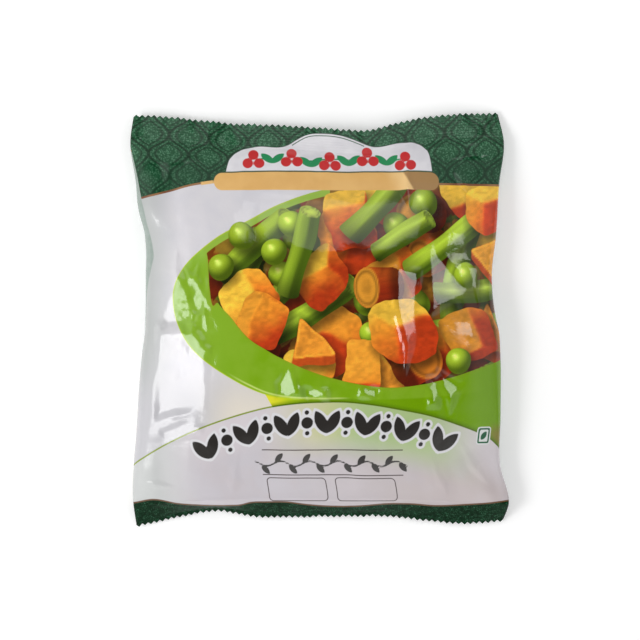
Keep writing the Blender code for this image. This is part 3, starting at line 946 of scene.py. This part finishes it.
def film_material(paint, film):
    """The printed film: the print in layers from the ground up, with some painted shade, sheen and
    glints, under one glossy skin.
    """
    graph = Graph(bpy.data.materials.new("printed film"))
    attribute, coats, inside, line = graph.attribute, graph.coats, graph.inside, graph.line
    less, product, ramp = graph.less, graph.product, graph.ramp
    plan = graph.node("ShaderNodeUVMap", uv_map="print")
    u = graph.node("ShaderNodeSeparateXYZ", {0: plan})
    v = u.node.outputs[1]
    mottle = graph.noise(plan, 0.35, 4.0, 0.6)
    cloud = graph.noise(plan, 0.05, 3.0)
    fine = graph.noise(plan, 1.9, 3.0, 0.6)

    # Ground: cool above, and greyed towards the left fold by painted shade
    low = ramp(v, -15, -50)
    ground = coats(
        paint.ground, ((213, 211, 217), (cloud, 0.35, 0.65)), (paint.ground_fold_shade, (u, -72, -97)),
        ((196, 195, 199), low), ((228, 220, 206), low, (u, -66, -40)))

    # Bowl: lit at the left, yellow-green under the rim, darker at the lower right, and olive at the
    # right fold, where that olive is painted shade
    rim, in_body = attribute("rim"), inside("body")
    wall = coats(
        (226, 222, 48), ((164, 196, 24), (u, -25, -12)), (paint.bowl, (u, -14, 2)),
        (paint.bowl_dark, (u, 4, 60)))
    lip = line(less(rim, ramp(u, -15, -40, 0.7, 1.7)), 0.35, 0.5)
    bowl = coats(
        paint.bowl_light, (paint.bowl, (u, -80, -30)), ((134, 176, 42), (cloud, 0.35, 0.6)),
        ((148, 190, 70), (v, 24, 40)), (wall, (rim, 0.6, -0.6)), (paint.bowl_dark, (u, 30, 95)),
        # Painted shade: olive where the film turns down at the right fold
        ((134, 130, 54), (u, 86, 96), (v, -52, -60)),
        ((206, 228, 122), lip, (v, 10, -30), (u, 17, 8), (u, -50, -36)),
        ((204, 220, 44), line(rim, 0.3, 0.5), (u, 10, -20, 0, 0.7)),
        ((160, 120, 24), (attribute("food"), -2.4, 0.3, 0, 0.1)))
    front = coats(ground, (bowl, inside("bowl")))

    # Heap of vegetables: the dim bed first, then each layer over the one below it
    grain = ramp(fine, 0.3, 0.75, 0.92, 1.08)
    for level in range(len(LAYERS) + 1):
        name = f"heap_{level}"
        piece = graph.node(
            "ShaderNodeVectorMath", {0: attribute(name, "Color"), 3: grain}, operation="SCALE")
        front = coats(front, (piece, (attribute(name, "Alpha"), 0.475, 0.525)))

    # Arch panel with its thin line, pale green in the middle and at the right, greyed by painted shade
    # towards the left fold
    arch = attribute("arch")
    glow = coats((204, 204, 152), ((174, 196, 138), (u, -6, 26)))
    panel = coats(
        paint.panel, (paint.panel_right, (u, -30, 70)), ((196, 188, 192), (cloud, 0.4, 0.7)),
        # Painted shade: (200, 202, 201) greys the panel towards the left fold
        ((214, 207, 211), (arch, 26, 6), (u, -84, -50)), ((200, 202, 201), (u, -58, -90)),
        (glow, (graph.math("ABSOLUTE", less(u, 30)), 62, 22), (arch, 33, 13)))
    front = coats(
        front, (panel, inside("arch")),
        ((84, 122, 6), (arch, -2.6, -0.2), (arch, 0.3, -0.1), in_body, 0.6),
        (coats((138, 154, 66), ((88, 116, 12), in_body)), line(arch, 0.42)))

    # Ornaments under the arch, each with a pale border
    ink = coats(paint.ink, ((50, 46, 44), (fine, 0.3, 0.8)))
    rules = product(line(attribute("rules"), 0.26), inside("rules_span"))
    mark = attribute("mark")
    front = coats(
        front, ((220, 219, 222), (attribute("title"), -1.5, -1.0)), (ink, inside("title")),
        (ink, inside("small_row", 0.16)),
        ((58, 44, 42), graph.math("MAXIMUM", rules, line(attribute("boxes"), 0.24))),
        ((220, 224, 222), (mark, -0.8, -0.4)),
        ((6, 88, 52), graph.math("MAXIMUM", line(less(mark, 0.5), 0.42), inside("mark_leaf"))))

    # Back panel, with plain ruled fields in thin frames
    field = attribute("back_field")
    rows = line(graph.math("PINGPONG", graph.math("ADD", v, 400.0), 4.5), 0.18, 0.1)
    back = coats(
        paint.back, ((148, 161, 153), (mottle, 0.35, 0.65)), ((222, 224, 222), (field, -0.3, 0.3)),
        ((150, 164, 156), rows, (field, 3.8, 4.4)), ((52, 100, 66), line(field, 0.4)))
    is_front = inside("printed_front", 0.3)

    # Green bands at both ends, with their thin lines, then the plaque and the bar
    header, foot = (
        graph.math("MULTIPLY_ADD", less(attribute(name), back_end), is_front, back_end)
        for name, back_end in (("header", less(v, HEADER_BACK)), ("foot", less(FOOT_BACK, v))))
    green = coats(header_colour(graph, u, v, plan, paint), ((10, 56, 32), (v, 92, 80, 0, 0.4)))
    gold = coats(paint.gold, ((122, 74, 46), (graph.noise(plan, 0.045, 1.0), 0.42, 0.58)))
    base = coats(
        paint.foot, ((2, 42, 18), (mottle, 0.35, 0.7)), (green, (fine, 0.35, 0.75, 0, 0.5)),
        # Painted glints: pale flecks standing in for highlights on the crumpled foot seal
        ((82, 136, 106), (fine, 0.52, 0.68), (mottle, 0.46, 0.6, 0, 0.8)))
    plaque = coats(
        paint.plaque, ((212, 210, 216), (cloud, 0.4, 0.7)), ((30, 140, 84), inside("sprig", 0.18)),
        ((200, 38, 40), inside("berries")),
        ((60, 96, 74), line(less(attribute("dome"), 1.3), 0.24)))
    # Painted highlight and painted shade of a fold across the bar: a pale band, then a darker right end
    fold_shading_slant = graph.math("ADD", u, product(v, 0.5))
    bar = coats(
        paint.bar, ((226, 176, 102), (cloud, 0.35, 0.65)), ((246, 210, 150), (fold_shading_slant, 74, 84, 0, 0.6)),
        ((168, 130, 80), (fold_shading_slant, 84.6, 86)))
    bar_edge = attribute("bar")
    whole = coats(
        back, (front, is_front), (green, (header, -0.22, 0.22)),
        (gold, line(header, 0.55), (u, 291, 288)),
        ((232, 186, 116), (u, -62.4, -61.6), (u, -40, -44), line(graph.math("ADD", header, 0.1), 0.85)),
        (base, (foot, -0.22, 0.22)), ((104, 74, 52), line(foot, 0.4)),
        (plaque, inside("plaque")), ((34, 70, 48), line(attribute("plaque"), 0.22)),
        ((40, 74, 52), (bar_edge, -1.0, -0.4), (v, 74, 78)), (bar, (bar_edge, -0.22, 0.22)))

    smear = ramp(graph.noise(plan, 0.06, 3.0, 0.6), 0.3, 0.7,
                 film.gloss_roughness - 0.03, film.gloss_roughness + 0.06)
    return graph.shade({
        "Base Color": whole,
        "Roughness": graph.math("ADD", smear, ramp(u, -54, -64, 0, 0.07)),
        "IOR": 1.5,
        "Specular IOR Level": product((foot, -0.5, 1.0, 0.5, 0.09), (header, -0.5, 1.0, 1.0, 0.74)),
        "Normal": graph.bump(graph.noise(plan, 0.14, 4.0, 0.55), 0.25, 0.0005),
    })


def seam_material(paint):
    """The back seam's film: the back panel's colour, with fine crimp lines across it."""
    graph = Graph(bpy.data.materials.new("back seam film"))
    place = graph.node("ShaderNodeTexCoord", output="Object")
    cloud = graph.noise(place, 60.0, 3.0)
    waves = graph.node(
        "ShaderNodeTexWave", {"Vector": place, "Scale": 260.0}, bands_direction="X")
    return graph.shade({
        "Base Color": graph.coats(paint.seam, ((164, 176, 170), (cloud, 0.35, 0.7))),
        "Roughness": graph.ramp(cloud, 0.3, 0.7, 0.2, 0.32),
        "Normal": graph.bump(waves, 0.5, 0.0002),
    })


def new_object(name, mesh, material):
    """Puts a finished mesh into the scene as a piece at the origin."""
    mesh.materials.append(material)
    mesh.shade_smooth()
    piece = bpy.data.objects.new(name, mesh)
    bpy.context.scene.collection.objects.link(piece)
    return piece


def film_rows(ribs):
    """v of the film's rows: three to each crimp rib in the seals, and even steps between."""
    seal = BODY_HALF + SEAL_STRIP * np.linspace(0, 1, 3 * ribs + 1)[1:]
    return np.concatenate((-seal[::-1], np.linspace(-BODY_HALF, BODY_HALF, 211), seal))


def sheet_gap(u):
    """Half of the air between both sheets, which dwindles to nothing over 2 mm at the folds."""
    return SHEET_GAP * np.clip((HALF_WIDTH - np.abs(u)) / 2.0, 0, 1)


def resting(net):
    """1 where a net of points is low enough to lie on the floor, 0 from 6 mm up."""
    return smooth(6.0, 0.5, net[..., 2])


def seal_detail(net, across, v, film):
    """Crimp ribs, low waves and the zigzag cut: small steps in z and y on the end seals' rows.

    `across` is the place across the bag, the same for both sheets, so that they stay together.
    """
    into = np.clip((np.abs(v) - BODY_HALF) / SEAL_STRIP, 0, 1)
    rib = 0.5 - 0.5 * np.cos(2 * np.pi * film.ribs * into)
    net[..., 2] -= film.rib_depth / MM * rib
    waves = 0.45 * swell(across / 6.5, v / 11, 61) + 0.5 * smooth(12.0, 0.0, across + HALF_WIDTH)
    waves += np.where(v > 0, 0.10, 0.28) * swell(across / 3.1, v / 6, 63)
    net[..., 2] += np.where(v > 0, 1.0, 0.7) * smooth(0.0, 0.35, into) * waves
    columns = np.linspace(0, film.teeth, net.shape[1])
    zigzag = 1 - 2 * np.abs(columns - np.floor(columns) - 0.5)
    grow = smooth(0.9, 1.0, into)
    uneven = 0.35 * swell(across / 3.4, np.sign(v) + 5.5, 62)
    net[..., 1] += np.sign(v) * grow * (film.tooth_depth / MM * zigzag + uneven)
    return net


class VEGBAG_OT_film(bpy.types.Operator):
    """Make the printed film round the filled bag"""

    bl_idname = "vegbag.film"
    bl_label = "Film"

    def execute(self, context):
        film, paint = context.scene.vegbag_film, context.scene.vegbag_print
        front_columns, back_columns = 4 * film.teeth, 2 * film.teeth
        rows = film_rows(film.ribs)
        u = np.linspace(-HALF_WIDTH, HALF_WIDTH, front_columns + 1)
        back_u = np.linspace(HALF_WIDTH, -HALF_WIDTH, back_columns + 1)
        front, back = film_sheet(u, rows, True), film_sheet(back_u[::-1], rows, False)[:, ::-1]
        flat_front = front.copy()
        net_u, net_v = np.meshgrid(u, rows)
        calm = 1 - 0.6 * flatten(front, net_u, net_v)
        relief = film.fold_depth * calm * film_relief(net_u, net_v)
        front = front + outward(front) * relief[..., None]
        front[..., 2] += sheet_gap(net_u)
        back_net_u, back_v = np.meshgrid(back_u, rows)
        lying = resting(back)
        rest = 0.5 + 0.3 * facets(back_net_u / 17, back_v / 21, 64)
        rest += 0.2 * swell(back_net_u / 7, back_v / 8, 65)
        back[..., 2] += (0.45 + 0.55 * rest) * lying - sheet_gap(back_net_u) * (1 - lying)
        front = seal_detail(front, net_u, net_v, film)
        back = seal_detail(back, back_net_u, back_v, film)

        ring = np.concatenate((front, back[:, 1:-1]), axis=1)
        around = ring.shape[1]
        far = [front_columns + step for step in range(back_columns + 1)]
        near = [front_columns - 2 * step for step in range(back_columns + 1)]
        mesh = sleeve("film", ring, [
            (near[step + 1], near[step + 1] + 1, near[step], far[step], far[step + 1] % around)
            for step in range(back_columns)])
        ring_u = np.concatenate((u, 2 * HALF_WIDTH - back_u[1:]))
        write_ring_uv(mesh, ring_u, rows, around)
        write_print(mesh, ring_u[:-1], rows, flat_front, back[:, 1:-1, 1])
        piece = new_object("film", mesh, film_material(paint, film))
        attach(piece, "root")
        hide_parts("bag")
        return {"FINISHED"}


def sleeve(name, ring, ends):
    """Mesh of a net that closes on itself sideways, from millimetres.

    `ends` holds the faces that close each open edge, as places along it; a place that comes twice
    counts once.
    """
    lines, around = ring.shape[:2]
    index = np.arange(lines * around).reshape(lines, around)
    right = np.roll(index, -1, axis=1)
    faces = np.stack((index[:-1], right[:-1], right[1:], index[1:]), axis=-1)
    faces = faces.reshape(-1, 4).tolist()
    for row, turn in ((index[0].tolist(), -1), (index[-1].tolist(), 1)):
        faces += [[row[place] for place in dict.fromkeys(places)][::turn] for places in ends]
    mesh = bpy.data.meshes.new(name)
    mesh.from_pydata(ring.reshape(-1, 3) * MM, [], faces)
    mesh.validate()
    return mesh


def write_ring_uv(mesh, ring_u, rows, around):
    """The print map, in millimetres of film, and an even map with the front on most of the square and
    the back beside it.
    """
    vertex = np.empty(len(mesh.loops), dtype=np.int32)
    mesh.loops.foreach_get("vertex_index", vertex)
    column = vertex % around
    u, v = ring_u[column], rows[vertex // around]
    u = np.where((column == 0) & face_has(mesh, column == around - 1), ring_u[-1], u)
    write_uv(mesh, "print", u, v)
    is_back = u > HALF_WIDTH + 1e-6
    is_back |= (np.abs(u - HALF_WIDTH) < 1e-6) & face_has(mesh, is_back)
    height = (v / (BODY_HALF + SEAL_STRIP + 1) + 1) / 2 * 0.99 + 0.005
    front_share = (u + HALF_WIDTH) / (2 * HALF_WIDTH) * 0.69 + 0.004
    back_share = (u - HALF_WIDTH) / (2 * HALF_WIDTH) * 0.29 + 0.703
    write_uv(mesh, "OFBake", np.where(is_back, back_share, front_share), height)


def face_has(mesh, marked):
    """For each face corner, whether any corner of its face is marked."""
    starts, totals = (np.empty(len(mesh.polygons), dtype=np.int32) for _ in range(2))
    mesh.polygons.foreach_get("loop_start", starts)
    mesh.polygons.foreach_get("loop_total", totals)
    counts = np.add.reduceat(marked.astype(int), starts)
    return np.repeat(counts > 0, totals)


def write_print(mesh, ring_u, rows, front, back_y):
    """Stores the print's shapes and the heap's picture at the film's points."""
    y = np.concatenate((front[..., 1], back_y), axis=1)
    u = np.broadcast_to(ring_u, y.shape)
    v = np.broadcast_to(rows[:, None], y.shape)
    is_front = u <= HALF_WIDTH + 12
    shows = held(BACK_SHOWS, front[:, :1, 1])
    back_u = u[:, front.shape[1]:]
    shapes = print_shapes(u, y, is_front)
    shapes["header"] = y - held(HEADER_BORDER, u)
    shapes["foot"] = held(FOOT_BORDER, u) - y
    shapes["printed_front"] = np.concatenate((
        (front[..., 0] - front[:, :1, 0] - shows) * ROUND_FOLD,
        np.where(back_u > BACK_HALF, back_u - 3 * HALF_WIDTH - ROUND_FOLD * shows,
                 HALF_WIDTH + 3.0 - back_u)), axis=1)
    field = rounded_box(
        np.abs(u - BACK_HALF) - FIELD_ASIDE, v - FIELD_HEIGHT, *FIELD_HALF, FIELD_CORNER)
    shapes["back_field"] = np.where(is_front, OUTSIDE, field)
    for name, values in shapes.items():
        write_attribute(mesh, name, values.ravel())
    distance, colour = heap_picture(u, y)
    food = over(FOOD_EDGE, u, y)
    distance[0] = np.minimum(food, np.maximum(bowl_rim(u, y, 1.0) - 3.6, u - 6.0))
    distance[1:] = np.minimum(distance[1:], np.maximum(food, y - FOOD_OPEN_ABOVE))
    for level, (inside, picture) in enumerate(zip(distance, colour)):
        alpha = np.where(is_front, np.clip(0.5 + inside / 8, 0, 1), 0.0)
        values = np.concatenate((linear(picture / 255), alpha[..., None]), axis=-1)
        write_attribute(mesh, f"heap_{level}", values.reshape(-1, 4))


class VEGBAG_OT_seam(bpy.types.Operator):
    """Make the flattened seam that runs down the back"""

    bl_idname = "vegbag.seam"
    bl_label = "Back seam"

    def execute(self, context):
        film, paint = context.scene.vegbag_film, context.scene.vegbag_print
        rows = np.linspace(-BODY_HALF + 1, BODY_HALF - 1, 160)
        back = film_sheet(np.linspace(0, film.seam_width / MM, 17), rows, False)
        lying = resting(back)
        ripple = 0.06 * swell(rows / 5, rows * 0, 41)[:, None] * np.linspace(0, 1, 17)
        upper, lower = back.copy(), back.copy()
        upper[..., 2] += 0.36 * lying - 0.25 * (1 - lying) + ripple * lying
        lower[..., 2] += 0.06 * lying - 0.55 * (1 - lying) + ripple * lying
        mesh = sleeve("back_seam", np.concatenate((upper, lower[:, ::-1]), axis=1), [
            (place, place + 1, 32 - place, 33 - place) for place in range(16)])
        piece = new_object("back_seam", mesh, seam_material(paint))
        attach(piece, "root")
        return {"FINISHED"}


def soft_light(name, place, size, power):
    """A soft light box at `place` that faces down, with its sides along x and y."""
    data = bpy.data.lights.new(name, "AREA")
    data.shape, data.energy = "RECTANGLE", power
    data.size, data.size_y = size
    lamp = bpy.data.objects.new(name, data)
    bpy.context.scene.collection.objects.link(lamp)
    lamp.location = place


class VEGBAG_OT_stage(bpy.types.Operator):
    """Make the pale floor, the soft lights and the camera over the bag"""

    bl_idname = "vegbag.stage"
    bl_label = "Stage"

    def execute(self, context):
        stage = context.scene.vegbag_stage
        half = stage.floor_size / 2
        mesh = bpy.data.meshes.new("floor")
        corners = [(-half, -half, 0.0), (half, -half, 0.0), (half, half, 0.0), (-half, half, 0.0)]
        mesh.from_pydata(corners, [], [(0, 1, 2, 3)])
        floor = new_object("floor", mesh, Graph(bpy.data.materials.new("pale floor")).shade({
            "Base Color": (0.93, 0.93, 0.93, 1.0), "Roughness": 0.9, "Specular IOR Level": 0.1,
            "Emission Color": (1.0, 1.0, 1.0, 1.0), "Emission Strength": stage.floor_glow}))
        soft_light("key light", (-0.66, -0.18, 0.74), (0.46, 0.36), stage.key_power)
        soft_light("fill light", (0.10, 0.60, 0.95), (0.60, 0.50), stage.fill_power)
        soft_light("side light", (0.60, 0.18, 0.74), (0.19, 0.15), stage.side_power)
        self.sky(context)
        self.camera(context, stage)
        view = context.scene.view_settings
        view.view_transform, view.look = "Standard", "None"
        return {"FINISHED"}

    def sky(self, context):
        """Soft light from a ring of the sky, strongest to the left of and below the picture."""
        graph = Graph(bpy.data.worlds.new("studio"), "Background")
        context.scene.world = graph.owner
        direction = graph.node("ShaderNodeTexCoord", output="Generated")
        height = graph.node("ShaderNodeSeparateXYZ", {0: direction}, output="Z")
        facing = graph.node(
            "ShaderNodeVectorMath", {0: direction, 1: (-0.6, -0.8, 0.0)}, output="Value",
            operation="DOT_PRODUCT")
        graph.shade({"Color": (1.0, 1.0, 1.0, 1.0), "Strength": graph.product(
            (height, 0.05, 0.40, 0.60, 1.10), (height, 0.66, 0.90, 1.0, 0.06),
            (facing, -0.5, 0.5, 0.68, 1.16))})

    def camera(self, context, stage):
        """A long lens straight above the bag, the top of the bag at the top of the picture."""
        data = bpy.data.cameras.new("camera")
        data.sensor_width = 36.0
        data.lens = 36.0 * (stage.camera_height - 0.01) / stage.view_width
        data.clip_start, data.clip_end = 0.05, 50.0
        camera = bpy.data.objects.new("camera", data)
        context.scene.collection.objects.link(camera)
        camera.location = (0.5 * MM, -0.3 * MM, stage.camera_height)
        context.scene.camera = camera


class VEGBAG_PT_panel(bpy.types.Panel):
    """Lists the bag's pieces and their settings"""

    bl_idname = "VEGBAG_PT_panel"
    bl_label = "Vegetable bag"
    bl_space_type = "VIEW_3D"
    bl_region_type = "UI"
    bl_category = "Vegetable bag"

    def draw(self, context):
        layout = self.layout
        for operator in OPERATORS:
            layout.operator(operator.bl_idname)
        for group in SETTINGS:
            box = layout.box()
            for name in SETTINGS[group].__annotations__:
                box.prop(getattr(context.scene, group), name)


SETTINGS = {"vegbag_film": FilmSettings, "vegbag_print": PrintSettings, "vegbag_stage": StageSettings}
OPERATORS = (VEGBAG_OT_film, VEGBAG_OT_seam, VEGBAG_OT_stage)


def register():
    for group, settings in SETTINGS.items():
        bpy.utils.register_class(settings)
        setattr(bpy.types.Scene, group, PointerProperty(type=settings))
    for kind in OPERATORS + (VEGBAG_PT_panel,):
        bpy.utils.register_class(kind)


def unregister():
    for kind in reversed(OPERATORS + (VEGBAG_PT_panel,)):
        bpy.utils.unregister_class(kind)
    for group, settings in SETTINGS.items():
        delattr(bpy.types.Scene, group)
        bpy.utils.unregister_class(settings)


def main():
    register()
    bpy.ops.vegbag.film()
    bpy.ops.vegbag.seam()
    bpy.ops.vegbag.stage()


if __name__ == "__main__":
    main()
